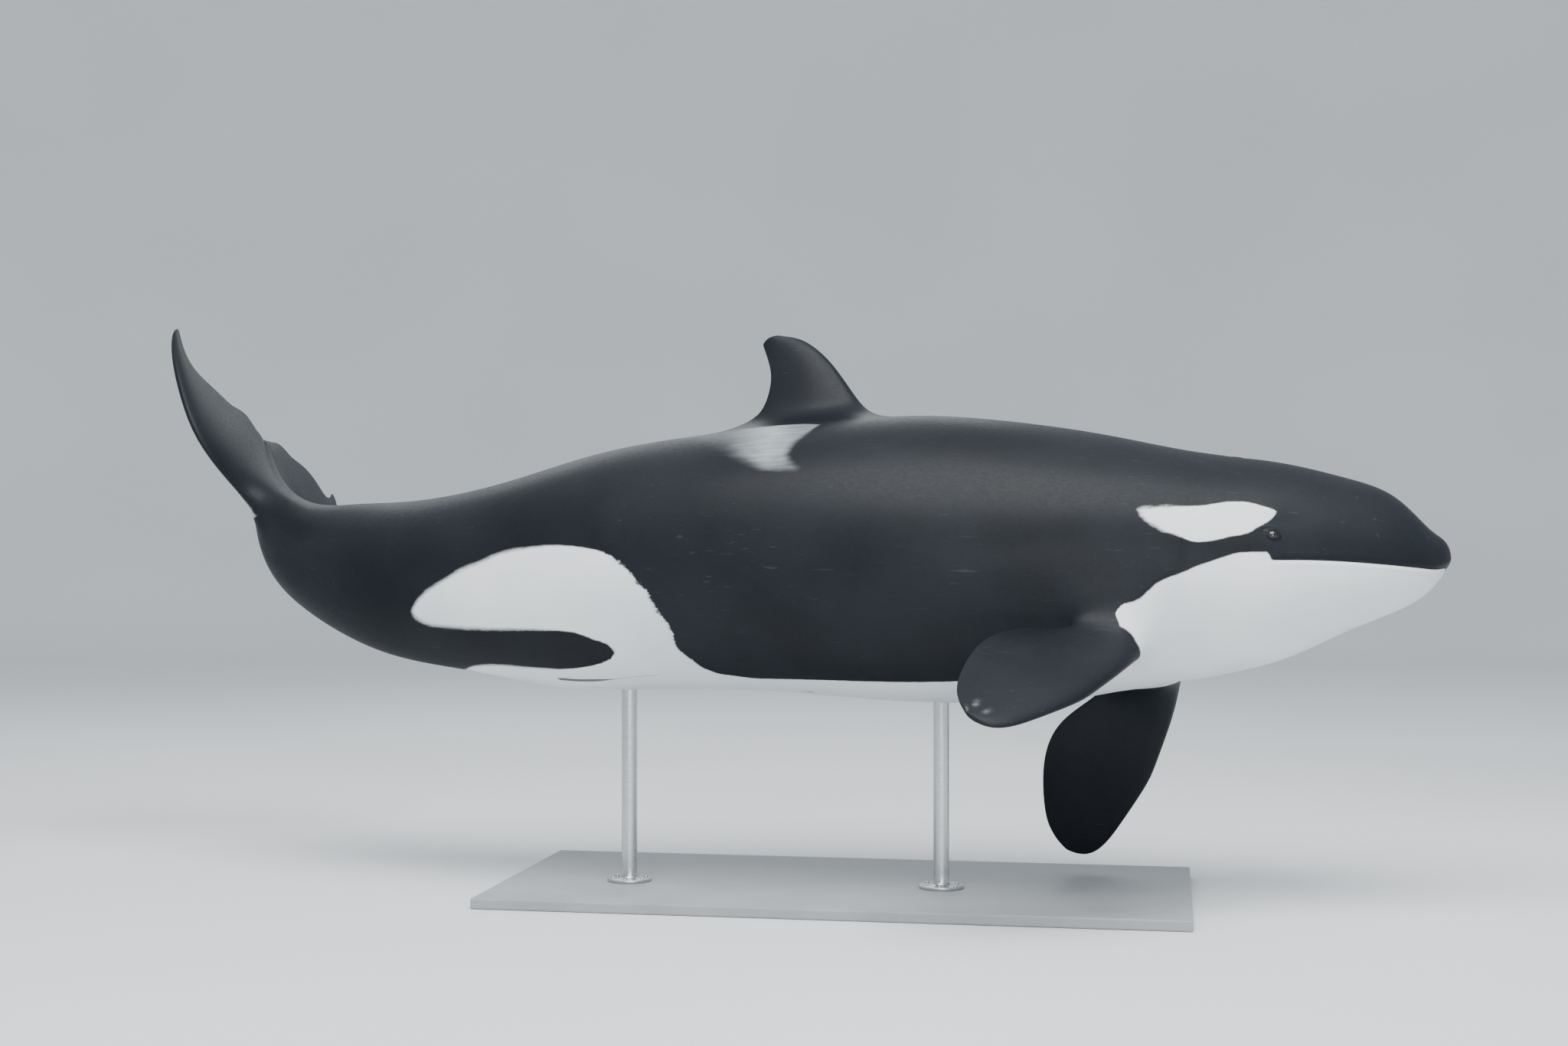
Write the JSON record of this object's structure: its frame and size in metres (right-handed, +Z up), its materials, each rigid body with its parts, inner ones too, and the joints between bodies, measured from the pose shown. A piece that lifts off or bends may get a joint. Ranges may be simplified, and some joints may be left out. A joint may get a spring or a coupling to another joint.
{
  "type": "orca",
  "caption": "Life-size still orca banking as it swims, fins spread and tail raised, held over a flat base by short rods.",
  "frame": {"origin": "middle of the underside of the stand's base, on the floor", "axes": "+X towards the animal's snout, +Y towards its left side, +Z up"},
  "size_m": [5.2266, 2.4438, 2.2544],
  "materials": {
    "head_skin": "smooth wet-looking black skin with a white patch behind each eye and a white chin",
    "jaw_skin": "smooth white skin",
    "body_skin": "smooth satin black skin, white belly and flank lobes, grey saddle behind the dorsal fin",
    "fin_skin": "smooth satin black skin, the undersides of the flukes white",
    "eye": "wet dark brown eye",
    "stand_base": "flat plinth painted pale grey, satin",
    "stand_rod": "round brushed steel rod with a flanged foot"
  },
  "bodies": {
    "root": {"head": "head_skin", "lower_jaw": "jaw_skin", "trunk": "body_skin", "tail_stock": "body_skin", "dorsal_fin": "fin_skin", "pectoral_fin_left": "fin_skin", "pectoral_fin_right": "fin_skin", "fluke_left": "fin_skin", "fluke_right": "fin_skin", "eye_left": "eye", "eye_right": "eye", "stand_base": "stand_base", "stand_rod_front": "stand_rod", "stand_rod_rear": "stand_rod"}
  },
  "joints": []
}
